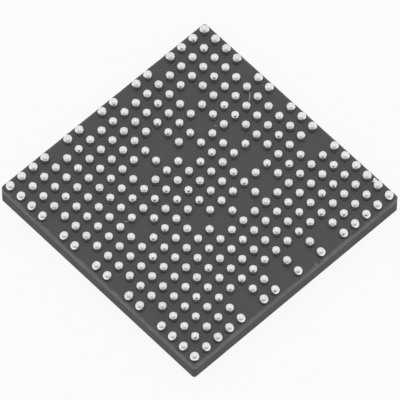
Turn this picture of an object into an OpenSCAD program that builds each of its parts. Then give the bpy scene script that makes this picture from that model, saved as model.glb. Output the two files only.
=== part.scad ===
// Fine-pitch ball grid array package, ball side up, as it lies on its moulded back.
// The origin is the middle of the moulded back. +Z leaves the ball side, +Y runs towards
// row A and +X towards column 1, so ball A1 stands in the +X +Y corner.

/* [Body] */
// Length and width of the square body
body_w = 8.96; // [8.95:0.01:12]
// Plan radius of the sawn corners
corner_r = 0.1; // [0.02:0.01:0.15]
// Depth of the mould compound behind the substrate
mould_t = 0.51; // [0.4:0.01:0.8]

/* [Substrate] */
// Thickness of the glass-epoxy core
core_t = 0.18; // [0.1:0.01:0.4]
// Thickness of the solder mask over the core, on each side
mask_t = 0.02; // [0.016:0.001:0.03]
// Thickness of the etched copper
copper_t = 0.012; // [0.008:0.001:0.014]

/* [Ball array] */
// Distance between neighbouring balls
pitch = 0.5; // [0.48:0.005:0.5]
// Widest diameter of a soldered ball
ball_d = 0.33; // [0.28:0.01:0.36]
// Diameter of the mask opening that a ball stands in
opening_d = 0.27; // [0.2:0.01:0.275]
// How far the mask laps over the copper land, all round its opening
land_lap = 0.03; // [0.01:0.005:0.035]

/* [Vias and traces] */
// Diameter of a copper-filled via
via_d = 0.1; // [0.06:0.01:0.11]
// Width of the copper ring round a via
via_ring = 0.03; // [0.02:0.005:0.035]
// Width of a trace
trace_w = 0.06; // [0.04:0.005:0.07]
// Space between the ground plane and the vias round it
plane_gap = 0.05; // [0.03:0.005:0.08]

/* [Die] */
// Length of the die along X
die_x = 5.4; // [4:0.1:5.5]
// Length of the die along Y
die_y = 5.4; // [4:0.1:5.5]
// Thickness of the die
die_t = 0.15; // [0.1:0.01:0.18]
// Thickness of the film that glues the die to the substrate
film_t = 0.02; // [0.01:0.005:0.03]
// How far the film reaches past the die
film_lip = 0.03; // [0.01:0.01:0.05]

/* [Bond wires] */
// Via columns on each side of the middle that the wires serve, with three wires a column
fan_columns = 5; // [3:1:5]
// Distance from the die's edge to the middle of its bond pads
pad_inset = 0.08; // [0.05:0.01:0.15]
// Distance from the die's corner to its first bond pad
pad_corner = 0.3; // [0.2:0.05:0.5]
// Diameter of the gold wire
wire_d = 0.02; // [0.015:0.001:0.025]
// Diameter of the welded ball that starts a wire
bump_d = 0.05; // [0.03:0.005:0.06]
// Height of the welded ball
bump_t = 0.012; // [0.008:0.001:0.02]
// Height of a wire's loop over the die
loop_h = 0.09; // [0.06:0.01:0.12]

/* [Bond fingers] */
// Width of a finger
finger_w = 0.09; // [0.06:0.005:0.1]
// Length of a finger
finger_l = 0.26; // [0.18:0.01:0.26]
// Space between the fingers and the edge of their window in the mask
window_gap = 0.03; // [0.01:0.005:0.03]

/* [Pin one mark] */
// Length of each side of the triangular mark
mark_w = 0.19; // [0.08:0.01:0.2]
// Distance from the body's edge to the mark's nearest side
mark_inset = 0.05; // [0.045:0.005:0.06]
// Bare laminate left round the mark
mark_gap = 0.02; // [0.01:0.005:0.02]

/* [Hidden] */
// Populated sites, one string a row from row A, with its last column first, at -X.
BALL_MAP = [
    "oooo.oo.ooo.oooooo",
    "ooooooooooo.oooooo",
    "oooooooooooooooooo",
    "oooooooooooooooooo",
    ".oo.ooo.o.oooooooo",
    "ooooo.ooo.o.oooo..",
    "oooooooooooooooooo",
    ".ooooo.oooo.oooo..",
    "oooo..oooooooooooo",
    "ooooooooooo.oooo..",
    ".oooo.oooo.ooooooo",
    "oooooooooooooooooo",
    "oooooooooooooooo..",
    ".ooooooo.ooooooooo",
    "oooooooooooooooooo",
    "oooooooooooooooooo",
    "oooooooooooooooooo",
    "oooo.oo.oo.oo.oooo",
];
// Rows are lettered as is usual, without I, O, Q and S.
ROW_NAMES = "abcdefghjklmnprtuv";
SIDES = ["right", "back", "left", "front"];

$fn = 32;

rows = len(BALL_MAP);
columns = len(BALL_MAP[0]);
slack = 1; // how far a cutting shape reaches past what it cuts

// Levels, from the back of the mould up to the ball side
core_z = mould_t + mask_t;
ball_copper_z = core_z + core_t;
top_z = ball_copper_z + mask_t;
film_z = mould_t - film_t;
die_z = film_z - die_t;
finger_z = core_z - copper_t;

// A ball is a sphere cut off at the mask, where it is as wide as its opening.
ball_r = ball_d / 2;
ball_centre_z = top_z + sqrt(pow(ball_r, 2) - pow(opening_d / 2, 2));
land_d = opening_d + 2 * land_lap;
via_pad_d = via_d + 2 * via_ring;

// Vias lie on rings round the middle, one pitch apart. The ground plane takes the inner five,
// the next three serve the wires, and the fingers stand between the sixth and the seventh.
plane_rings = 5;
finger_ring = (plane_rings + 1.5) * pitch;
plane_w = 2 * ((plane_rings + 1) * pitch - via_pad_d / 2 - plane_gap);
finger_pitch = pitch / 3;
wires_per_side = 3 * (2 * fan_columns + 1);
window_w = finger_l + 2 * window_gap;
window_l = (wires_per_side - 1) * finger_pitch + finger_w + 2 * window_gap;

mark_x = ((columns - 1) / 2 - 1.5) * pitch; // midway between columns 2 and 3

function row_y(i) = ((rows - 1) / 2 - i) * pitch;
function column_x(j) = (j - (columns - 1) / 2) * pitch;
function has_ball(i, j) = BALL_MAP[i][j] == "o";

// A via lies between four balls. Each ball goes to the via on its inner side, so the two middle
// rows and the two middle columns share theirs, as supply balls do.
mid_a = (rows - 2) / 2;
mid_b = (columns - 2) / 2;
function owners(site, middle) =
    site < middle ? [site] : site > middle ? [site + 1] : [site, site + 1];
function has_via(a, b) =
    len([for (i = owners(a, mid_a), j = owners(b, mid_b)) if (has_ball(i, j)) 1]) > 0;
function ring(a, b) = max(abs(a - mid_a), abs(b - mid_b));
function along(a, b) = min(abs(a - mid_a), abs(b - mid_b));
function is_wired(a, b) = ring(a, b) > plane_rings && along(a, b) <= fan_columns;

// Via site at a ring and a column of one side, with the side turned to face +X.
function site(side, ring, column) = [
    mid_a - [column, ring, -column, -ring][side],
    mid_b + [ring, -column, -ring, column][side]
];

// Plan of the body, a square with its corners just broken.
module body_plan() {
    flat = body_w - 2 * corner_r;
    square([body_w, flat], center = true);
    square([flat, body_w], center = true);
    for (x = [-1, 1], y = [-1, 1]) translate([x, y] * flat / 2) circle(corner_r);
}

// Draws its children at every ball, and at every via that the map calls for.
module at_balls() {
    for (i = [0:rows - 1], j = [0:columns - 1])
        if (has_ball(i, j)) translate([column_x(j), row_y(i)]) children();
}
module at_vias() {
    for (a = [0:rows - 2], b = [0:columns - 2])
        if (has_via(a, b)) translate([b - mid_b, mid_a - a] * pitch) children();
}

// Plan of a trace between two points.
module trace(from, to) {
    run = to - from;
    translate(from) rotate(atan2(run.y, run.x)) translate([0, -trace_w / 2])
        square([norm(run), trace_w]);
    translate(to) circle(d = trace_w);
}

// Gold ball bonds on the die, a loop that hangs below it, and the stitch on the finger.
// The k-th wire of a side that faces +X, whose die edge lies at half.
module bond_wire(k, half, pad_pitch) {
    place = k - (wires_per_side - 1) / 2;
    pad = [half - pad_inset, place * pad_pitch, die_z];
    finger = [finger_ring, place * finger_pitch, finger_z];
    loop = pad - [0, 0, loop_h];
    run = finger - loop;
    translate(pad - [0, 0, bump_t]) cylinder(h = bump_t, d = bump_d);
    translate(loop) cylinder(h = loop_h - bump_t / 2, d = wire_d);
    translate(loop) sphere(d = wire_d);
    intersection() {
        translate(loop) rotate([0, acos(run.z / norm(run)), atan2(run.y, run.x)])
            cylinder(h = norm(run) + wire_d, d = wire_d);
        translate([loop.x - slack, finger.y - slack, 0])
            cube([run.x + 2 * slack, 2 * slack, finger_z]);
    }
}

module bond_wires(side) {
    die_l = side % 2 == 0 ? die_y : die_x;
    die_w = side % 2 == 0 ? die_x : die_y;
    pad_pitch = (die_l - 2 * pad_corner) / (wires_per_side - 1);
    color("gold") rotate(side * 90)
        for (k = [0:wires_per_side - 1]) bond_wire(k, die_w / 2, pad_pitch);
}

// The active face of the die looks away from the substrate.
module silicon_die() {
    color("slategray") translate([-die_x / 2, -die_y / 2, die_z]) cube([die_x, die_y, die_t]);
}

module die_attach_film() {
    size = [die_x, die_y] + 2 * film_lip * [1, 1];
    color("tan") translate([-size.x / 2, -size.y / 2, film_z]) cube([size.x, size.y, film_t]);
}

// Windows in the die-side mask, one a side, that bare the fingers to the wires.
module finger_windows() {
    for (side = [0:3]) rotate(side * 90)
        translate([finger_ring, 0]) square([window_w, window_l], center = true);
}

// Epoxy moulded over the die and wires. It fills the windows round the fingers.
module mould_cap() {
    color("#5a585a") difference() {
        union() {
            linear_extrude(mould_t) body_plan();
            translate([0, 0, mould_t]) linear_extrude(mask_t) finger_windows();
        }
        silicon_die();
        die_attach_film();
        bond_fingers();
        for (side = [0:3]) bond_wires(side);
    }
}

// Each column has three fingers: the middle one leads to the seventh ring, the first to the
// eighth, past the seventh, and the last one inwards to the sixth.
module finger_plan(side) {
    near = (plane_rings + 1) * pitch;
    for (c = [-fan_columns:fan_columns], lead = [-1:1]) {
        y = c * pitch + lead * finger_pitch;
        at = site(side, plane_rings + [3, 2, 1][lead + 1], c);
        translate([finger_ring, y]) square([finger_l, finger_w], center = true);
        if (has_via(at.x, at.y)) {
            if (lead == -1) {
                trace([finger_ring, y], [near + 1.5 * pitch, y]);
                trace([near + 1.5 * pitch, y], [near + 2 * pitch, c * pitch]);
            }
            if (lead == 0) trace([finger_ring, y], [near + pitch, y]);
            if (lead == 1) trace([finger_ring - finger_l / 2, y], [near, c * pitch]);
        }
    }
}

module bond_fingers() {
    color("goldenrod") translate([0, 0, finger_z]) linear_extrude(copper_t) {
        for (side = [0:3]) rotate(side * 90) finger_plan(side);
        for (a = [0:rows - 2], b = [0:columns - 2])
            if (has_via(a, b) && is_wired(a, b))
                translate([b - mid_b, mid_a - a] * pitch) circle(d = via_pad_d);
    }
}

module ground_plane() {
    color("peru") translate([-plane_w / 2, -plane_w / 2, finger_z])
        cube([plane_w, plane_w, copper_t]);
}

// Pads of the vias that neither the ground plane nor a finger joins.
module corner_pads() {
    color("peru") translate([0, 0, finger_z]) linear_extrude(copper_t)
        for (a = [0:rows - 2], b = [0:columns - 2])
            if (has_via(a, b) && ring(a, b) > plane_rings && !is_wired(a, b))
                translate([b - mid_b, mid_a - a] * pitch) circle(d = via_pad_d);
}

module die_side_mask() {
    color("#3a3b3e") difference() {
        translate([0, 0, mould_t]) linear_extrude(mask_t) difference() {
            body_plan();
            finger_windows();
        }
        bond_fingers();
        ground_plane();
        corner_pads();
    }
}

module plated_vias() {
    color("peru") at_vias() translate([0, 0, core_z]) cylinder(h = core_t, d = via_d);
}

module substrate_core() {
    color("#6b6a5e") difference() {
        translate([0, 0, core_z]) linear_extrude(core_t) body_plan();
        plated_vias();
    }
}

// Ball-side copper: each ball's land, its via's ring and the trace between them.
module ball_lands() {
    color("peru") translate([0, 0, ball_copper_z]) linear_extrude(copper_t) {
        at_balls() circle(d = land_d);
        at_vias() circle(d = via_pad_d);
        for (i = [0:rows - 1], j = [0:columns - 1])
            if (has_ball(i, j)) {
                ball = [column_x(j), row_y(i)];
                trace(ball, ball - [sign(ball.x), sign(ball.y)] * pitch / 2);
            }
    }
}

// Plan of the mark, an even triangle with its flat side along the edge beyond row A.
module mark_plan(gap = 0) {
    inner_r = mark_w / (2 * sqrt(3));
    translate([mark_x, body_w / 2 - mark_inset - inner_r]) rotate(-90)
        circle(r = 2 * (inner_r + gap), $fn = 3);
}

module pin_one_mark() {
    color("gold") translate([0, 0, ball_copper_z]) linear_extrude(copper_t) mark_plan();
}

module ball_side_mask() {
    color("#3a3b3e") difference() {
        translate([0, 0, ball_copper_z]) linear_extrude(mask_t) difference() {
            body_plan();
            mark_plan(mark_gap);
        }
        ball_lands();
        at_balls() translate([0, 0, ball_copper_z]) cylinder(h = mask_t + slack, d = opening_d);
    }
}

// Reflowed solder fills its opening down to the land and stands on it as a cut-off sphere.
module solder_ball() {
    translate([0, 0, ball_copper_z + copper_t]) cylinder(h = mask_t - copper_t, d = opening_d);
    difference() {
        translate([0, 0, ball_centre_z]) sphere(r = ball_r);
        translate([-ball_r, -ball_r, top_z - ball_d]) cube(ball_d);
    }
}

module balls_row(i) {
    color("silver")
        for (j = [0:columns - 1])
            if (has_ball(i, j)) translate([column_x(j), row_y(i)]) solder_ball();
}

mould_cap();
silicon_die();
die_attach_film();
for (side = [0:3])
    bond_wires(side);
bond_fingers();
ground_plane();
corner_pads();
die_side_mask();
substrate_core();
plated_vias();
ball_lands();
ball_side_mask();
pin_one_mark();
for (i = [0:rows - 1])
    balls_row(i);
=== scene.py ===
# Fine-pitch ball grid array package, lying on its moulded back with the solder balls up.
# The sections follow the package as it is built: substrate, copper, solder mask, die, wires,
# moulding and balls, and then the table, the light and the camera.
import math

import bpy
import bmesh
from mathutils import Matrix, Vector, noise


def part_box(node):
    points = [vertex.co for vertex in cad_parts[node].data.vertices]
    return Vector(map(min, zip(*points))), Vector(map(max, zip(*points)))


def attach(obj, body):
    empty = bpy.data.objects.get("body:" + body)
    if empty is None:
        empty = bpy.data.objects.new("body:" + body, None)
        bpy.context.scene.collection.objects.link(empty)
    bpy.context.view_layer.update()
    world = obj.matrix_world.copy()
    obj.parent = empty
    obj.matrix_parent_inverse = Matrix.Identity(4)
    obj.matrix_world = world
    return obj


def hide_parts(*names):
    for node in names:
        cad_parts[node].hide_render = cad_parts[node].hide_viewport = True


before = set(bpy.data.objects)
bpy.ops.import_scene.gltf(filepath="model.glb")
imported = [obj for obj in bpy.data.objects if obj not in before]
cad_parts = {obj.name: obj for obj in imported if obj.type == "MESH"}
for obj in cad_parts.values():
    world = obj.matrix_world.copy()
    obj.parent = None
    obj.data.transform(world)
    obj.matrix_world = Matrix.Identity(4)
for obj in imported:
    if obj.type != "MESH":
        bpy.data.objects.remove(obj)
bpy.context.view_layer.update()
MM = 0.001

# ---------------------------------------------------------------------------------------------
# Substrate core: glass cloth in bismaleimide resin, 0.18 mm thick. The panel is sawn apart
# after moulding, so the four edges show cut glass bundles and fine streaks along the cut.
# ---------------------------------------------------------------------------------------------


def linear(colour):
    """Linear RGBA from an sRGB hex colour."""
    parts = [int(colour[k : k + 2], 16) / 255 for k in (1, 3, 5)]
    return (*[p / 12.92 if p <= 0.04045 else ((p + 0.055) / 1.055) ** 2.4 for p in parts], 1.0)


def node(tree, kind, inputs=None, **settings):
    """Adds a node with its settings. Its inputs are values, or links from other sockets."""
    made = tree.nodes.new(kind)
    for name, value in settings.items():
        setattr(made, name, value)
    for name, value in (inputs or {}).items():
        if isinstance(value, bpy.types.NodeSocket):
            tree.links.new(value, made.inputs[name])
        else:
            made.inputs[name].default_value = value
    return made


def finish(name, metallic, roughness):
    """A new material, its tree, its shader, and a socket that gives Object coordinates."""
    material = bpy.data.materials.new(name)
    material.use_nodes = True
    tree = material.node_tree
    shader = tree.nodes["Principled BSDF"]
    shader.inputs["Metallic"].default_value = metallic
    shader.inputs["Roughness"].default_value = roughness
    place = node(tree, "ShaderNodeTexCoord").outputs["Object"]
    return material, tree, shader, place


def dress(material, *names):
    """Gives CAD nodes their material."""
    for name in names:
        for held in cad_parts[name].material_slots:
            held.material = material


laminate, tree, shader, place = finish("BT laminate, sawn edge", 0.0, 0.62)
streak_height = 0.03  # mm, width of one saw streak
along_cut = node(tree, "ShaderNodeMapping", {"Vector": place, "Scale": (0.12, 0.12, 1.0)})
streaks = node(
    tree,
    "ShaderNodeTexNoise",
    {"Vector": along_cut.outputs[0], "Scale": 1 / (streak_height * MM), "Detail": 3.0},
).outputs[0]
bundle_pitch = 0.35  # mm, from one glass bundle to the next
bundles = node(
    tree, "ShaderNodeTexNoise", {"Vector": place, "Scale": 1 / (bundle_pitch * MM), "Detail": 2.0}
).outputs[0]
cut = node(tree, "ShaderNodeMath", {0: streaks, 1: bundles}, operation="ADD").outputs[0]
cut = node(tree, "ShaderNodeMapRange", {0: cut, 1: 0.75, 2: 1.25}).outputs[0]
colour = node(
    tree, "ShaderNodeMix", {0: cut, 6: linear("#5c5757"), 7: linear("#76706f")}, data_type="RGBA"
)
tree.links.new(colour.outputs[2], shader.inputs["Base Color"])
bump = node(tree, "ShaderNodeBump", {"Height": streaks, "Strength": 0.5, "Distance": 0.004 * MM})
tree.links.new(bump.outputs[0], shader.inputs["Normal"])
dress(laminate, "substrate_core")

# ---------------------------------------------------------------------------------------------
# Copper: 12 micron foil, etched into the ball lands, the traces and the ground plane, and
# plated through the vias. Its oxide treatment, which holds the solder mask, leaves it brown.
# ---------------------------------------------------------------------------------------------
copper, tree, shader, place = finish("copper, brown oxide", 1.0, 0.45)
grain = 0.05  # mm, patches of the oxide treatment
patches = node(
    tree, "ShaderNodeTexNoise", {"Vector": place, "Scale": 1 / (grain * MM), "Detail": 3.0}
).outputs[0]
colour = node(
    tree,
    "ShaderNodeMix",
    {0: patches, 6: linear("#a4583c"), 7: linear("#d98e6a")},
    data_type="RGBA",
)
tree.links.new(colour.outputs[2], shader.inputs["Base Color"])
bump = node(tree, "ShaderNodeBump", {"Height": patches, "Strength": 0.4, "Distance": 0.002 * MM})
tree.links.new(bump.outputs[0], shader.inputs["Normal"])
dress(copper, "ground_plane", "corner_pads", "plated_vias", "ball_lands")

# ---------------------------------------------------------------------------------------------
# Plated copper: nickel and a flash of gold, which the wires are stitched to. The pin one mark
# is plated with it. It is bright and smooth, over the grain of the foil.
# ---------------------------------------------------------------------------------------------
plating, tree, shader, place = finish("gold plating, bright", 1.0, 0.28)
grain = 0.02  # mm, grain of the foil
foil = node(
    tree, "ShaderNodeTexNoise", {"Vector": place, "Scale": 1 / (grain * MM), "Detail": 2.0}
).outputs[0]
colour = node(
    tree, "ShaderNodeMix", {0: foil, 6: linear("#f3e2c4"), 7: linear("#fdf3e0")}, data_type="RGBA"
)
tree.links.new(colour.outputs[2], shader.inputs["Base Color"])
bump = node(tree, "ShaderNodeBump", {"Height": foil, "Strength": 0.3, "Distance": 0.001 * MM})
tree.links.new(bump.outputs[0], shader.inputs["Normal"])
dress(plating, "bond_fingers", "pin_one_mark")

# ---------------------------------------------------------------------------------------------
# Solder mask on the ball side: a satin grey-black epoxy film that is curtain coated, printed
# through a film and cured. It sinks a little round each land, carries the low ridges of the
# traces and vias under it, and its sawn rim is softly worn.
# ---------------------------------------------------------------------------------------------
pitch = 0.5  # mm
columns = 18
rows = "abcdefghjklmnprtuv"
opening_r = 0.135  # mm, where a ball stands
corner_r = 0.1  # mm, of the body in plan
low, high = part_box("ball_side_mask")
body_half = high.x / MM
mask_foot = low.z / MM
mask_top = high.z / MM


def populated(row):
    """The columns of a row that hold a ball, counted from -X."""
    found = set()
    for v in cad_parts["balls_row_" + row].data.vertices:
        found.add(round(v.co.x / MM / pitch + (columns - 1) / 2))
    return sorted(found)


def site(i, j):
    """Plan place of row i and column j, in mm."""
    return ((j - (columns - 1) / 2) * pitch, ((columns - 1) / 2 - i) * pitch)


filled = {(i, j) for i, row in enumerate(rows) for j in populated(row)}


def ease(start, end, value):
    """Smooth step from 0 at start to 1 at end."""
    t = min(max((value - start) / (end - start), 0), 1)
    return t * t * (3 - 2 * t)


def via_sites():
    """Vias, one on the inner side of each ball. The two middle rows and columns share theirs."""
    found = set()
    for i, j in filled:
        x, y = site(i, j)
        found.add((x - math.copysign(pitch / 2, x), y - math.copysign(pitch / 2, y)))
    return found


vias = {(round(x / pitch), round(y / pitch)) for x, y in via_sites()}
lift_over = 0.0085  # mm, how much higher the mask lies over copper
land_slope = (0.190, 0.275)  # mm from a ball's middle, where the mask leaves its land
trace_slope = (0.035, 0.080)  # mm from a trace's middle line
via_slope = (0.085, 0.135)  # mm from a via's middle
lip_w = 0.007  # mm, rounding of an opening's lip
lip_sink = 0.0015  # mm, how far the lip sinks at the opening
coating_wave = 0.0008  # mm, slow waves of the coating
wave_turns = 1.3  # waves a millimetre
rim_w = 0.026  # mm, width of the worn rim
least_corner = 0.015  # mm, plan radius that an inset corner keeps


def mask_height(x, y):
    """Height of the mask's surface below its highest level, in mm."""
    j = min(max(round(x / pitch + (columns - 1) / 2), 0), columns - 1)
    i = min(max(round((columns - 1) / 2 - y / pitch), 0), columns - 1)
    bare = 1.0
    if (i, j) in filled:
        cx, cy = site(i, j)
        bare = ease(*land_slope, math.hypot(x - cx, y - cy))
        along = (x - cx) * -math.copysign(1, cx) + (y - cy) * -math.copysign(1, cy)
        aside = (x - cx) * -math.copysign(1, cx) - (y - cy) * -math.copysign(1, cy)
        if along > 0:
            bare *= ease(*trace_slope, abs(aside) / math.sqrt(2))
    via = (round(x / pitch), round(y / pitch))
    if via in vias:
        bare *= ease(*via_slope, math.hypot(x - via[0] * pitch, y - via[1] * pitch))
    height = -lift_over * bare
    if (i, j) in filled:
        off = math.hypot(x - cx, y - cy)
        height -= lip_sink * (1 - ease(opening_r, opening_r + lip_w, off))
    height -= coating_wave * (1 + noise.noise(Vector((x * wave_turns, y * wave_turns, 4.0))))
    return height


def on_rim(x, y, inset):
    """Moves a point of the square outline onto the body's outline, at an inset, in mm."""
    half = body_half - inset
    radius = max(corner_r - inset, least_corner)
    straight = half - radius
    along = min(abs(x), abs(y)) / max(abs(x), abs(y)) * (straight + radius * math.pi / 4)
    if along <= straight:
        major, minor = half, along
    else:
        turn = (along - straight) / radius
        major = straight + radius * math.cos(turn)
        minor = straight + radius * math.sin(turn)
    if abs(x) >= abs(y):
        return math.copysign(major, x), math.copysign(minor, y)
    return math.copysign(minor, x), math.copysign(major, y)


steps = 8  # points along each side of a site, so four times as many round its opening
half_steps = columns * steps // 2
mask = bmesh.new()
grid = {}
round_lands = (opening_r, 0.141, 0.170, 0.200, 0.225)  # mm, rings of points round a ball
across = (0.3, 0.65)  # the rest of the way to the border of a site


def at_grid(gx, gy, level):
    """The vertex that sites share on their border, on the top (1) or the underside (0)."""
    if (gx, gy, level) not in grid:
        x, y = gx * pitch / steps, gy * pitch / steps
        if max(abs(gx), abs(gy)) == half_steps:
            x, y = on_rim(x, y, rim_w if level else 0.0)
        z = mask_top + mask_height(x, y) if level else mask_foot
        grid[gx, gy, level] = mask.verts.new((x, y, z))
    return grid[gx, gy, level]


def band(inner, outer, closed=True):
    """Faces between two runs of vertices."""
    last = len(inner) if closed else len(inner) - 1
    for k in range(last):
        n = (k + 1) % len(inner)
        mask.faces.new((inner[k], outer[k], outer[n], inner[n]))


for i in range(columns):
    for j in range(columns):
        x, y = site(i, j)
        gx = round(x / pitch * steps)
        gy = round(y / pitch * steps)
        h = steps // 2
        if (i, j) not in filled:
            for level in (1, 0):
                for a in range(-h, h):
                    for b in range(-h, h):
                        run = [(a, b), (a + 1, b), (a + 1, b + 1), (a, b + 1)]
                        if not level:
                            run.reverse()
                        mask.faces.new([at_grid(gx + p, gy + q, level) for p, q in run])
            continue
        border = [(h, t) for t in range(-h, h)] + [(-t, h) for t in range(-h, h)]
        border += [(-h, -t) for t in range(-h, h)] + [(t, -h) for t in range(-h, h)]
        turns = [(k - steps / 2) / (4 * steps) * 2 * math.pi for k in range(4 * steps)]
        edges = [at_grid(gx + p, gy + q, 1) for p, q in border]
        rings = []
        for r in round_lands:
            run = []
            for t in turns:
                px, py = x + r * math.cos(t), y + r * math.sin(t)
                run.append(mask.verts.new((px, py, mask_top + mask_height(px, py))))
            rings.append(run)
        for share in across:
            run = []
            for start, end in zip(rings[len(round_lands) - 1], edges):
                p = start.co.lerp(end.co, share)
                p.z = mask_top + mask_height(p.x, p.y)
                run.append(mask.verts.new(p))
            rings.append(run)
        rings.append(edges)
        for inner, outer in zip(rings, rings[1:]):
            band(inner, outer)
        foot = [mask.verts.new((v.co.x, v.co.y, mask_foot)) for v in rings[0]]
        band(foot, rings[0])
        band([at_grid(gx + p, gy + q, 0) for p, q in border], foot)

# The window of the pin one mark is an even triangle, cut between the balls of columns 2 and 3.
mark_gap = 0.02  # mm of bare laminate round the mark
mark_low, mark_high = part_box("pin_one_mark")
mark_x = (mark_low.x + mark_high.x) / 2 / MM
mark_r = (mark_high.y - mark_low.y) / 3 / MM  # from its middle to each side
mark_y = mark_high.y / MM - mark_r
window_r = mark_r + mark_gap


def past_window(x, y):
    """How far a point lies outside the triangle, in mm, and less than 0 inside it."""
    dx, dy = x - mark_x, y - mark_y
    return max(dy, abs(dx) * math.cos(math.pi / 6) - dy / 2) - window_r


corners = [Vector((0, -2)), Vector((math.sqrt(3), 1)), Vector((-math.sqrt(3), 1))]
corners = [c * window_r + Vector((mark_x, mark_y)) for c in corners]
side_steps = 6
clear_w = 0.03  # mm of mask that is made again round the window
lip_round = 0.001  # mm, how far the window's lip sinks
sides = list(zip(corners, corners[1:] + corners[:1]))
plan = [a.lerp(b, k / side_steps) for a, b in sides for k in range(side_steps)]
mask.normal_update()
walls = []
for level in (1, 0):
    cut = []
    for f in mask.faces:
        upward = f.normal.z > 0.3 if level else f.normal.z < -0.3
        if upward and min(past_window(v.co.x, v.co.y) for v in f.verts) < clear_w:
            cut.append(f)
    inside = set(cut)
    loop = [e for f in cut for e in f.edges if sum(g in inside for g in e.link_faces) == 1]
    bmesh.ops.delete(mask, geom=cut, context="FACES_KEEP_BOUNDARY")
    run = []
    for p in plan:
        z = mask_top + mask_height(p.x, p.y) - lip_round if level else mask_foot
        run.append(mask.verts.new((p.x, p.y, z)))
    lip = [mask.edges.new((run[k - 1], run[k])) for k in range(len(run))]
    bmesh.ops.triangle_fill(mask, edges=loop + lip, use_beauty=True, normal=(0, 0, 1))
    walls.append(run)
band(walls[0], walls[1])

# The rim goes round the four sides, from the plain face over the worn edge to the underside.
s = half_steps
outline = [(s, t) for t in range(-s, s)] + [(-t, s) for t in range(-s, s)]
outline += [(-s, -t) for t in range(-s, s)] + [(t, -s) for t in range(-s, s)]
rim = [[at_grid(p, q, 1) for p, q in outline]]
rim_profile = ((0.018, 0.001), (0.010, 0.0035), (0.004, 0.0065), (0.0, 0.010))  # mm in, mm down
for inset, drop in rim_profile:
    run = []
    for p, q in outline:
        x, y = on_rim(p, q, inset)
        wear = 0.8 + 0.45 * noise.noise(Vector((x * 2.2, y * 2.2, 9.0)))
        z = mask_top + mask_height(x, y) - drop * wear
        run.append(mask.verts.new((x, y, max(z, mask_foot + 0.001))))
    rim.append(run)
rim.append([at_grid(p, q, 0) for p, q in outline])
for inner, outer in zip(rim, rim[1:]):
    band(inner, outer)

bmesh.ops.recalc_face_normals(mask, faces=mask.faces)
# Painted shade: a weight on each vertex for how dark the mask is painted round a ball's foot.
painted_shade = mask.verts.layers.float.new("painted_shade")
shade_w = (0.01, 0.065)  # mm from the opening, where the painted shade at a ball's foot starts to fade and ends
for v in mask.verts:
    j = min(max(round(v.co.x / pitch + (columns - 1) / 2), 0), columns - 1)
    i = min(max(round((columns - 1) / 2 - v.co.y / pitch), 0), columns - 1)
    if (i, j) in filled:
        x, y = site(i, j)
        fade = [opening_r + w for w in shade_w]
        v[painted_shade] = 1 - ease(*fade, math.hypot(v.co.x - x, v.co.y - y))
bmesh.ops.scale(mask, vec=(MM, MM, MM), verts=mask.verts)
mesh = bpy.data.meshes.new("ball side solder mask")
mask.to_mesh(mesh)
mask.free()
mesh.shade_smooth()
mesh.set_sharp_from_angle(angle=math.radians(50))
ball_side_mask = bpy.data.objects.new("ball_side_solder_mask", mesh)
bpy.context.scene.collection.objects.link(ball_side_mask)

# Satin epoxy, curtain coated and cured: a low broad gloss, a faint orange peel, cloudy patches.
solder_mask, tree, shader, place = finish("solder mask, satin grey-black", 0.0, 0.36)
shader.inputs["IOR"].default_value = 1.58
shader.inputs["Specular IOR Level"].default_value = 0.75
cloud = 0.9  # mm
peel = 0.09  # mm
clouds = node(
    tree, "ShaderNodeTexNoise", {"Vector": place, "Scale": 1 / (cloud * MM), "Detail": 3.0}
).outputs[0]
grain = node(
    tree, "ShaderNodeTexNoise", {"Vector": place, "Scale": 1 / (peel * MM), "Detail": 4.0}
).outputs[0]
tone = node(tree, "ShaderNodeMath", {0: clouds, 1: grain}, operation="ADD").outputs[0]
tone = node(tree, "ShaderNodeMapRange", {0: tone, 1: 0.7, 2: 1.3}).outputs[0]
colour = node(
    tree, "ShaderNodeMix", {0: tone, 6: linear("#29292b"), 7: linear("#2f2f32")}, data_type="RGBA"
).outputs[2]

# Painted shade: the mask is darkened towards near black in a ring round the foot of each ball, where
# the ball shades it.
foot_shade = node(tree, "ShaderNodeAttribute", attribute_name="painted_shade").outputs["Fac"]
foot_shade = node(tree, "ShaderNodeMath", {0: foot_shade, 1: 0.4}, operation="MULTIPLY").outputs[0]
colour = node(
    tree, "ShaderNodeMix", {0: foot_shade, 6: colour, 7: linear("#141313")}, data_type="RGBA"
).outputs[2]

# The sawn rim is rubbed paler in streaks that run along it.
apart = node(tree, "ShaderNodeVectorMath", {0: place}, operation="ABSOLUTE").outputs[0]
apart = node(tree, "ShaderNodeSeparateXYZ", {0: apart})
edge = node(
    tree, "ShaderNodeMath", {0: apart.outputs[0], 1: apart.outputs[1]}, operation="MAXIMUM"
).outputs[0]
edge = node(
    tree, "ShaderNodeMapRange", {0: edge, 1: (body_half - 0.07) * MM, 2: (body_half - 0.01) * MM}
).outputs[0]
rub = node(
    tree, "ShaderNodeTexNoise", {"Vector": place, "Scale": 1 / (0.3 * MM), "Detail": 4.0}
).outputs[0]
rub = node(tree, "ShaderNodeMapRange", {0: rub, 1: 0.35, 2: 0.7}).outputs[0]
rub = node(tree, "ShaderNodeMath", {0: edge, 1: rub}, operation="MULTIPLY").outputs[0]
colour = node(
    tree, "ShaderNodeMix", {0: rub, 6: colour, 7: linear("#6d6a69")}, data_type="RGBA"
).outputs[2]

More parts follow.
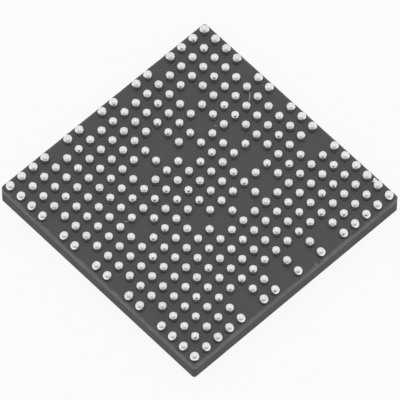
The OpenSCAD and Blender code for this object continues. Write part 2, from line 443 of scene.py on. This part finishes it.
# Handling marks: pale scratches and specks, and dark pits in the rim, as (start, end, width).
scratches = [
    ((-1.605, 3.743), (-1.500, 3.648), 0.010),
    ((-1.500, 3.648), (-1.395, 3.508), 0.010),
    ((-0.860, -2.467), (-0.770, -2.372), 0.008),
    ((-1.450, 2.070), (-1.440, 2.080), 0.012),
    ((4.425, 0.868), (4.430, 0.872), 0.014),
]
pits = [
    ((-3.990, -4.447), (-3.985, -4.447), 0.022),
    ((-3.890, -4.452), (-3.885, -4.452), 0.018),
    ((-3.140, -4.457), (-2.960, -4.462), 0.010),
    ((4.480, 3.853), (4.490, 4.118), 0.012),
    ((4.485, 3.133), (4.487, 3.150), 0.016),
]
flat = node(tree, "ShaderNodeVectorMath", {0: place, 1: (1, 1, 0)}, operation="MULTIPLY").outputs[0]
wander = node(
    tree, "ShaderNodeTexNoise", {"Vector": place, "Scale": 1 / (0.05 * MM)}
).outputs[1]
wander = node(
    tree, "ShaderNodeVectorMath", {0: wander, 1: (0.5, 0.5, 0.5)}, operation="SUBTRACT"
).outputs[0]
flat = node(
    tree,
    "ShaderNodeVectorMath",
    {0: wander, 1: (0.02 * MM, 0.02 * MM, 0), 2: flat},
    operation="MULTIPLY_ADD",
).outputs[0]
worn = []
for marks in (scratches, pits):
    total = None
    for start, end, width in marks:
        start, end = Vector((*start, 0)) * MM, Vector((*end, 0)) * MM
        run = end - start
        reach = node(tree, "ShaderNodeVectorMath", {0: flat, 1: start}, operation="SUBTRACT")
        share = node(
            tree,
            "ShaderNodeVectorMath",
            {0: reach.outputs[0], 1: run / run.length_squared},
            operation="DOT_PRODUCT",
        ).outputs["Value"]
        share = node(tree, "ShaderNodeClamp", {0: share}).outputs[0]
        off = node(tree, "ShaderNodeVectorMath", {0: run, "Scale": share}, operation="SCALE")
        off = node(
            tree,
            "ShaderNodeVectorMath",
            {0: reach.outputs[0], 1: off.outputs[0]},
            operation="DISTANCE",
        ).outputs["Value"]
        near = node(
            tree, "ShaderNodeMapRange", {0: off, 1: width * MM, 2: width * MM * 2, 3: 1.0, 4: 0.0}
        ).outputs[0]
        if total is None:
            total = near
        else:
            total = node(tree, "ShaderNodeMath", {0: total, 1: near}, operation="MAXIMUM").outputs[0]
    worn.append(total)
colour = node(
    tree, "ShaderNodeMix", {0: worn[0], 6: colour, 7: linear("#a3a09d")}, data_type="RGBA"
).outputs[2]
colour = node(
    tree, "ShaderNodeMix", {0: worn[1], 6: colour, 7: linear("#151414")}, data_type="RGBA"
).outputs[2]
tree.links.new(colour, shader.inputs["Base Color"])
gloss = node(tree, "ShaderNodeMapRange", {0: grain, 1: 0.3, 2: 0.7, 3: 0.33, 4: 0.39}).outputs[0]
tree.links.new(gloss, shader.inputs["Roughness"])
depth = node(
    tree, "ShaderNodeMath", {0: worn[1], 1: -3.0, 2: grain}, operation="MULTIPLY_ADD"
).outputs[0]
bump = node(tree, "ShaderNodeBump", {"Height": depth, "Strength": 0.6, "Distance": 0.0015 * MM})
tree.links.new(bump.outputs[0], shader.inputs["Normal"])
mesh.materials.append(solder_mask)
dress(solder_mask, "die_side_mask")
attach(ball_side_mask, "root")
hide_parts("ball_side_mask")

# ---------------------------------------------------------------------------------------------
# Die and its film: a thinned silicon chip, ground on its back, on a film of filled epoxy
# that was laminated to the wafer and bonds it to the substrate.
# ---------------------------------------------------------------------------------------------
silicon, tree, shader, place = finish("silicon, ground", 0.0, 0.3)
swirl = 0.04  # mm, spacing of the grinding marks
lines = node(
    tree,
    "ShaderNodeTexWave",
    {"Vector": place, "Scale": 1 / (swirl * MM) / 6.28, "Distortion": 2.0, "Detail": 3.0},
    wave_type="RINGS",
).outputs[1]
colour = node(
    tree, "ShaderNodeMix", {0: lines, 6: linear("#4c4f55"), 7: linear("#60646b")}, data_type="RGBA"
).outputs[2]
tree.links.new(colour, shader.inputs["Base Color"])
shader.inputs["IOR"].default_value = 2.4
bump = node(tree, "ShaderNodeBump", {"Height": lines, "Strength": 0.3, "Distance": 0.0005 * MM})
tree.links.new(bump.outputs[0], shader.inputs["Normal"])
dress(silicon, "silicon_die")

film, tree, shader, place = finish("die attach film, epoxy", 0.0, 0.55)
filler = node(
    tree, "ShaderNodeTexNoise", {"Vector": place, "Scale": 1 / (0.03 * MM), "Detail": 2.0}
).outputs[0]
colour = node(
    tree, "ShaderNodeMix", {0: filler, 6: linear("#b49a72"), 7: linear("#cbb58f")}, data_type="RGBA"
).outputs[2]
tree.links.new(colour, shader.inputs["Base Color"])
dress(film, "die_attach_film")

# ---------------------------------------------------------------------------------------------
# Bond wires: 20 micron gold, ball bonded to the die and stitched to the fingers. Drawing
# leaves faint lines along the wire.
# ---------------------------------------------------------------------------------------------
wire, tree, shader, place = finish("gold wire, drawn", 1.0, 0.22)
drawn = node(
    tree, "ShaderNodeTexNoise", {"Vector": place, "Scale": 1 / (0.01 * MM), "Detail": 2.0}
).outputs[0]
colour = node(
    tree, "ShaderNodeMix", {0: drawn, 6: linear("#e2b64f"), 7: linear("#f6d27c")}, data_type="RGBA"
).outputs[2]
tree.links.new(colour, shader.inputs["Base Color"])
for side in ("right", "back", "left", "front"):
    dress(wire, "bond_wires_" + side)

# ---------------------------------------------------------------------------------------------
# Moulding: black epoxy filled with fused silica, transfer moulded over the dies and sawn with
# the substrate. Its back keeps the fine spark finish of the mould, its sides the saw's streaks.
# ---------------------------------------------------------------------------------------------
moulding, tree, shader, place = finish("silica-filled epoxy, moulded", 0.0, 0.68)
grit = 0.035  # mm, filler grains that the saw bares
grains = node(
    tree, "ShaderNodeTexVoronoi", {"Vector": place, "Scale": 1 / (grit * MM)}, feature="F1"
).outputs[0]
speck = node(tree, "ShaderNodeMapRange", {0: grains, 1: 0.12, 2: 0.3, 3: 1.0, 4: 0.0}).outputs[0]
along_cut = node(tree, "ShaderNodeMapping", {"Vector": place, "Scale": (0.15, 0.15, 1.0)})
streaks = node(
    tree,
    "ShaderNodeTexNoise",
    {"Vector": along_cut.outputs[0], "Scale": 1 / (0.04 * MM), "Detail": 4.0},
).outputs[0]
clouds = node(
    tree, "ShaderNodeTexNoise", {"Vector": place, "Scale": 1 / (0.7 * MM), "Detail": 3.0}
).outputs[0]
tone = node(tree, "ShaderNodeMath", {0: streaks, 1: clouds}, operation="ADD").outputs[0]
tone = node(tree, "ShaderNodeMapRange", {0: tone, 1: 0.7, 2: 1.3}).outputs[0]
colour = node(
    tree, "ShaderNodeMix", {0: tone, 6: linear("#434142"), 7: linear("#514e4f")}, data_type="RGBA"
).outputs[2]
speck = node(tree, "ShaderNodeMath", {0: speck, 1: 0.35}, operation="MULTIPLY").outputs[0]
colour = node(
    tree, "ShaderNodeMix", {0: speck, 6: colour, 7: linear("#8a8786")}, data_type="RGBA"
).outputs[2]
tree.links.new(colour, shader.inputs["Base Color"])
rough = node(tree, "ShaderNodeMath", {0: streaks, 1: grains}, operation="ADD").outputs[0]
bump = node(tree, "ShaderNodeBump", {"Height": rough, "Strength": 0.5, "Distance": 0.003 * MM})
tree.links.new(bump.outputs[0], shader.inputs["Normal"])
dress(moulding, "mould_cap")

# ---------------------------------------------------------------------------------------------
# Solder balls: lead-free spheres, placed in flux and reflowed onto their lands, so each one is
# a ball cut off at the mask. They differ a little in size, and the skin froze unevenly.
# ---------------------------------------------------------------------------------------------
ball_r = 0.165  # mm
neck_drop = 0.008  # mm, from the mask's surface down to the land

solder, tree, shader, place = finish("lead-free solder, reflowed", 1.0, 0.13)
skin = node(
    tree, "ShaderNodeTexNoise", {"Vector": place, "Scale": 1 / (0.045 * MM), "Detail": 3.0}
).outputs[0]
colour = node(
    tree, "ShaderNodeMix", {0: skin, 6: linear("#efeff0"), 7: linear("#fbfbfb")}, data_type="RGBA"
).outputs[2]
luck = node(tree, "ShaderNodeAttribute", attribute_name="luck").outputs["Fac"]
dull = node(tree, "ShaderNodeMapRange", {0: luck, 1: 0.55, 2: 1.0, 3: 0.0, 4: 0.5}).outputs[0]
colour = node(
    tree, "ShaderNodeMix", {0: dull, 6: colour, 7: linear("#e9e4de")}, data_type="RGBA"
).outputs[2]

# Painted reflection: a small dark spot low on the camera's side of most inner balls, standing in for
# each ball's mirror image of its neighbour's shaded foot.
outward = node(tree, "ShaderNodeAttribute", attribute_name="outward").outputs["Vector"]
scatter = node(tree, "ShaderNodeTexWhiteNoise", {"W": luck}, noise_dimensions="1D").outputs[1]
lean = node(
    tree,
    "ShaderNodeVectorMath",
    {0: scatter, 1: (0.22, 0.22, 0.22), 2: (0.425, -0.625, 0.555)},
    operation="MULTIPLY_ADD",
).outputs[0]
reflection_off = node(
    tree, "ShaderNodeVectorMath", {0: outward, 1: lean}, operation="DISTANCE"
).outputs["Value"]
shows_reflection = node(tree, "ShaderNodeAttribute", attribute_name="shows_reflection").outputs["Fac"]
painted_reflection = node(
    tree, "ShaderNodeMapRange", {0: reflection_off, 1: 0.12, 2: 0.2, 3: 1.0, 4: 0.0}
).outputs[0]
painted_reflection = node(
    tree, "ShaderNodeMath", {0: painted_reflection, 1: shows_reflection}, operation="MULTIPLY"
).outputs[0]
colour = node(
    tree, "ShaderNodeMix", {0: painted_reflection, 6: colour, 7: linear("#2a2624")}, data_type="RGBA"
).outputs[2]
tree.links.new(colour, shader.inputs["Base Color"])
gloss = node(tree, "ShaderNodeMapRange", {0: skin, 1: 0.3, 2: 0.7, 3: 0.1, 4: 0.17}).outputs[0]
tree.links.new(gloss, shader.inputs["Roughness"])
bump = node(tree, "ShaderNodeBump", {"Height": skin, "Strength": 0.5, "Distance": 0.0015 * MM})
tree.links.new(bump.outputs[0], shader.inputs["Normal"])

# Each row is one tree: a cut sphere on every point of the row, turned and sized at random.
ball_row = bpy.data.node_groups.new("row of solder balls", "GeometryNodeTree")
sockets = {}
for name, kind in (
    ("Sites", "NodeSocketGeometry"),
    ("Ball radius", "NodeSocketFloat"),
    ("Opening radius", "NodeSocketFloat"),
    ("Neck drop", "NodeSocketFloat"),
    ("Painted reflection share", "NodeSocketFloat"),
    ("Seed", "NodeSocketInt"),
    ("Solder", "NodeSocketMaterial"),
):
    sockets[name] = ball_row.interface.new_socket(name, in_out="INPUT", socket_type=kind).identifier
ball_row.interface.new_socket("Balls", in_out="OUTPUT", socket_type="NodeSocketGeometry")
given = node(ball_row, "NodeGroupInput").outputs
radius, opening, drop = given["Ball radius"], given["Opening radius"], given["Neck drop"]
ball = node(
    ball_row, "GeometryNodeMeshUVSphere", {"Segments": 16, "Rings": 8, "Radius": radius}
).outputs[0]
where = node(ball_row, "GeometryNodeInputPosition").outputs[0]
part = node(ball_row, "ShaderNodeSeparateXYZ", {0: where}).outputs
level = node(ball_row, "ShaderNodeMath", {0: part[2], 1: radius}, operation="DIVIDE").outputs[0]
in_cut = node(ball_row, "ShaderNodeMath", {0: level, 1: -0.6}, operation="LESS_THAN").outputs[0]
in_neck = node(ball_row, "ShaderNodeMath", {0: level, 1: -0.85}, operation="LESS_THAN").outputs[0]
square = node(ball_row, "ShaderNodeMath", {0: radius, 1: radius}, operation="MULTIPLY").outputs[0]
taken = node(ball_row, "ShaderNodeMath", {0: opening, 1: opening}, operation="MULTIPLY").outputs[0]
depth = node(ball_row, "ShaderNodeMath", {0: square, 1: taken}, operation="SUBTRACT").outputs[0]
depth = node(ball_row, "ShaderNodeMath", {0: depth}, operation="SQRT").outputs[0]
foot = node(
    ball_row, "ShaderNodeMath", {0: in_neck, 1: drop, 2: depth}, operation="MULTIPLY_ADD"
).outputs[0]
foot = node(ball_row, "ShaderNodeMath", {0: foot, 1: -1.0}, operation="MULTIPLY").outputs[0]
height = node(
    ball_row, "ShaderNodeMix", {0: in_cut, 2: part[2], 3: foot}, data_type="FLOAT"
).outputs[0]
plan = node(ball_row, "ShaderNodeCombineXYZ", {0: part[0], 1: part[1]}).outputs[0]
spoke = node(ball_row, "ShaderNodeVectorMath", {0: plan}, operation="LENGTH").outputs["Value"]
stretch = node(ball_row, "ShaderNodeMath", {0: opening, 1: spoke}, operation="DIVIDE").outputs[0]
stretch = node(
    ball_row, "ShaderNodeMix", {0: in_cut, 2: 1.0, 3: stretch}, data_type="FLOAT"
).outputs[0]
plan = node(ball_row, "ShaderNodeVectorMath", {0: plan, "Scale": stretch}, operation="SCALE")
shaped = node(ball_row, "ShaderNodeSeparateXYZ", {0: plan.outputs[0]}).outputs
shaped = node(
    ball_row, "ShaderNodeCombineXYZ", {0: shaped[0], 1: shaped[1], 2: height}
).outputs[0]
ball = node(ball_row, "GeometryNodeSetPosition", {"Geometry": ball, "Position": shaped}).outputs[0]

sites = given["Sites"]
chance = node(
    ball_row, "FunctionNodeRandomValue", {"Seed": given["Seed"]}, data_type="FLOAT"
).outputs[1]
sites = node(
    ball_row,
    "GeometryNodeStoreNamedAttribute",
    {"Geometry": sites, "Name": "luck", "Value": chance},
    data_type="FLOAT",
    domain="POINT",
).outputs[0]
sites = node(
    ball_row,
    "GeometryNodeStoreNamedAttribute",
    {"Geometry": sites, "Name": "middle", "Value": where},
    data_type="FLOAT_VECTOR",
    domain="POINT",
).outputs[0]
turn = node(
    ball_row,
    "FunctionNodeRandomValue",
    {0: (0, 0, 0), 1: (0, 0, 6.283), "Seed": given["Seed"]},
    data_type="FLOAT_VECTOR",
).outputs[0]
balls = node(
    ball_row,
    "GeometryNodeInstanceOnPoints",
    {"Points": sites, "Instance": ball, "Rotation": turn},
).outputs[0]
balls = node(ball_row, "GeometryNodeRealizeInstances", {"Geometry": balls}).outputs[0]
middle = node(
    ball_row, "GeometryNodeInputNamedAttribute", {"Name": "middle"}, data_type="FLOAT_VECTOR"
).outputs[0]
held = node(
    ball_row, "GeometryNodeInputNamedAttribute", {"Name": "luck"}, data_type="FLOAT"
).outputs[0]
outward = node(
    ball_row, "ShaderNodeVectorMath", {0: where, 1: middle}, operation="SUBTRACT"
).outputs[0]
above = node(ball_row, "ShaderNodeSeparateXYZ", {0: outward}).outputs[2]
free = node(ball_row, "ShaderNodeMath", {0: depth, 1: -0.85}, operation="MULTIPLY").outputs[0]
free = node(ball_row, "ShaderNodeMath", {0: above, 1: free}, operation="GREATER_THAN").outputs[0]

# Only the free part of a ball differs in size and shape, and none stands above the plane that
# the tops share.
shrunk = node(ball_row, "ShaderNodeMapRange", {0: held, 3: -0.03, 4: 0.004}).outputs[0]
shrunk = node(
    ball_row, "ShaderNodeVectorMath", {0: outward, "Scale": shrunk}, operation="SCALE"
).outputs[0]
uneven = node(
    ball_row, "ShaderNodeTexNoise", {"Vector": where, "Scale": 1 / (0.2 * MM), "Detail": 1.0}
).outputs[1]
uneven = node(
    ball_row, "ShaderNodeVectorMath", {0: uneven, 1: (0.5, 0.5, 0.5)}, operation="SUBTRACT"
).outputs[0]
wobble = (0.018 * MM, 0.018 * MM, 0.012 * MM)
uneven = node(
    ball_row,
    "ShaderNodeVectorMath",
    {0: uneven, 1: wobble, 2: shrunk},
    operation="MULTIPLY_ADD",
).outputs[0]
moved = node(
    ball_row, "ShaderNodeVectorMath", {0: where, 1: uneven}, operation="ADD"
).outputs[0]
moved = node(ball_row, "ShaderNodeSeparateXYZ", {0: moved}).outputs
top = node(ball_row, "ShaderNodeSeparateXYZ", {0: middle}).outputs[2]
top = node(ball_row, "ShaderNodeMath", {0: top, 1: radius}, operation="ADD").outputs[0]
top = node(ball_row, "ShaderNodeMath", {0: moved[2], 1: top}, operation="MINIMUM").outputs[0]
moved = node(
    ball_row, "ShaderNodeCombineXYZ", {0: moved[0], 1: moved[1], 2: top}
).outputs[0]
balls = node(
    ball_row,
    "GeometryNodeSetPosition",
    {"Geometry": balls, "Selection": free, "Position": moved},
).outputs[0]
unit = node(
    ball_row, "ShaderNodeVectorMath", {0: outward}, operation="NORMALIZE"
).outputs[0]
balls = node(
    ball_row,
    "GeometryNodeStoreNamedAttribute",
    {"Geometry": balls, "Name": "outward", "Value": unit},
    data_type="FLOAT_VECTOR",
    domain="POINT",
).outputs[0]
# Painted reflection: the balls that get the dark spot.
reflecting = node(
    ball_row, "ShaderNodeMath", {0: held, 1: given["Painted reflection share"]}, operation="LESS_THAN"
).outputs[0]
balls = node(
    ball_row,
    "GeometryNodeStoreNamedAttribute",
    {"Geometry": balls, "Name": "shows_reflection", "Value": reflecting},
    data_type="FLOAT",
    domain="POINT",
).outputs[0]
balls = node(
    ball_row, "GeometryNodeSetShadeSmooth", {"Geometry": balls, "Shade Smooth": free}
).outputs[0]
balls = node(
    ball_row, "GeometryNodeSetMaterial", {"Geometry": balls, "Material": given["Solder"]}
).outputs[0]
node(ball_row, "NodeGroupOutput", {0: balls})

for i, row in enumerate(rows):
    name = "balls_row_" + row
    low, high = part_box(name)
    spots = [(*site(i, j), high.z / MM - ball_r) for j in populated(row)]
    mesh = bpy.data.meshes.new(name + "_sites")
    mesh.from_pydata([Vector(p) * MM for p in spots], [], [])
    held = bpy.data.objects.new(name + "_sites", mesh)
    bpy.context.scene.collection.objects.link(held)
    maker = held.modifiers.new("balls", "NODES")
    maker.node_group = ball_row
    maker[sockets["Ball radius"]] = ball_r * MM
    maker[sockets["Opening radius"]] = opening_r * MM
    maker[sockets["Neck drop"]] = neck_drop * MM
    # Share of balls that get the painted dark reflection spot; the outer rows a and v get none.
    maker[sockets["Painted reflection share"]] = 0.0 if row in "av" else 0.35
    maker[sockets["Seed"]] = i
    maker[sockets["Solder"]] = solder
    seen = held.evaluated_get(bpy.context.evaluated_depsgraph_get())
    balls = bpy.data.objects.new("solder_" + name, bpy.data.meshes.new_from_object(seen))
    bpy.context.scene.collection.objects.link(balls)
    held.modifiers.remove(maker)
    bpy.data.objects.remove(held)
    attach(balls, "root")
    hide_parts(name)

# ---------------------------------------------------------------------------------------------
# Table: a plain white sheet. It shows white to the eye and in the balls, and keeps a shadow.
# ---------------------------------------------------------------------------------------------
sheet, tree, shader, place = finish("card, matte white", 0.0, 0.9)
shader.inputs["Specular IOR Level"].default_value = 0.0
fibre = node(tree, "ShaderNodeTexNoise", {"Vector": place, "Scale": 1 / (2 * MM), "Detail": 3.0})
colour = node(
    tree,
    "ShaderNodeMix",
    {0: fibre.outputs[0], 6: linear("#e6e6e6"), 7: linear("#eaeaea")},
    data_type="RGBA",
).outputs[2]
tree.links.new(colour, shader.inputs["Base Color"])
rays = node(tree, "ShaderNodeLightPath").outputs
seen = node(
    tree,
    "ShaderNodeMath",
    {0: rays["Is Camera Ray"], 1: rays["Is Glossy Ray"]},
    operation="MAXIMUM",
).outputs[0]
seen = node(
    tree, "ShaderNodeMath", {0: seen, 1: rays["Is Transmission Ray"]}, operation="MAXIMUM"
).outputs[0]
glow = node(tree, "ShaderNodeEmission", {"Color": (1, 1, 1, 1), "Strength": 1.0})
blend = node(tree, "ShaderNodeMath", {0: seen, 1: 0.9}, operation="MULTIPLY").outputs[0]
mixed = node(tree, "ShaderNodeMixShader", {0: blend, 1: shader.outputs[0], 2: glow.outputs[0]})
tree.links.new(mixed.outputs[0], tree.nodes["Material Output"].inputs["Surface"])
mesh = bpy.data.meshes.new("table")
reach = 0.5
mesh.from_pydata(
    [(-reach, -reach, 0), (reach, -reach, 0), (reach, reach, 0), (-reach, reach, 0)],
    [],
    [(0, 1, 2, 3)],
)
mesh.materials.append(sheet)
table = bpy.data.objects.new("table", mesh)
bpy.context.scene.collection.objects.link(table)

# ---------------------------------------------------------------------------------------------
# Light: a white tent that is open, and so dimmer, on the side of the camera, with a soft lamp
# overhead that leans to the back.
# ---------------------------------------------------------------------------------------------
view_turn = math.radians(46.012)  # the camera's side, round from -Y towards +X
world = bpy.data.worlds.new("tent")
bpy.context.scene.world = world
world.use_nodes = True
tree = world.node_tree
heading = node(tree, "ShaderNodeTexCoord").outputs["Generated"]
toward = (math.sin(view_turn), -math.cos(view_turn), 0)
heading = node(
    tree, "ShaderNodeVectorMath", {0: heading, 1: toward}, operation="DOT_PRODUCT"
).outputs["Value"]
tent = node(tree, "ShaderNodeMapRange", {0: heading, 1: 0.3, 2: 1.0, 3: 0.85, 4: 0.38}).outputs[0]
tree.nodes["Background"].inputs["Color"].default_value = (1, 1, 1, 1)
tree.links.new(tent, tree.nodes["Background"].inputs["Strength"])


def soft_lamp(name, turn, lift, away, size, power):
    """A round soft lamp that looks at the middle of the package."""
    lamp = bpy.data.lights.new(name, "AREA")
    lamp.shape = "DISK"
    lamp.size = size
    lamp.energy = power
    held = bpy.data.objects.new(name, lamp)
    bpy.context.scene.collection.objects.link(held)
    out = Vector(
        (math.sin(turn) * math.cos(lift), -math.cos(turn) * math.cos(lift), math.sin(lift))
    )
    held.location = out * away
    held.rotation_euler = out.to_track_quat("Z", "Y").to_euler()


soft_lamp("overhead lamp", view_turn + math.pi, math.radians(80), 0.5, 0.3, 0.05)

# ---------------------------------------------------------------------------------------------
# Camera: a long lens over the corner between the front and the right side, 60 degrees up.
# ---------------------------------------------------------------------------------------------
lift = math.radians(59.787)
roll = math.radians(0.5545)
back = Vector(
    (
        math.sin(view_turn) * math.cos(lift),
        -math.cos(view_turn) * math.cos(lift),
        math.sin(lift),
    )
)
right = Vector((math.cos(view_turn), math.sin(view_turn), 0))
up = back.cross(right)
rolled_right = math.cos(roll) * right + math.sin(roll) * up
rolled_up = math.cos(roll) * up - math.sin(roll) * right
aim_z = 0.884  # mm, near the middle of the balls
off_right, off_up = 0.01237, -0.32  # mm, framing
distance = 218.525  # mm
aim = Vector((0, 0, aim_z)) * MM
aim += (off_right * rolled_right + off_up * rolled_up) * MM
lens = bpy.data.cameras.new("camera")
lens.lens = 618.9
lens.sensor_width = 36
lens.clip_start = 0.001
lens.clip_end = 10
camera = bpy.data.objects.new("camera", lens)
bpy.context.scene.collection.objects.link(camera)
turned = Matrix((rolled_right, rolled_up, back)).transposed().to_4x4()
camera.matrix_world = Matrix.Translation(aim + back * distance * MM) @ turned
bpy.context.scene.camera = camera
bpy.context.scene.view_settings.view_transform = "Standard"
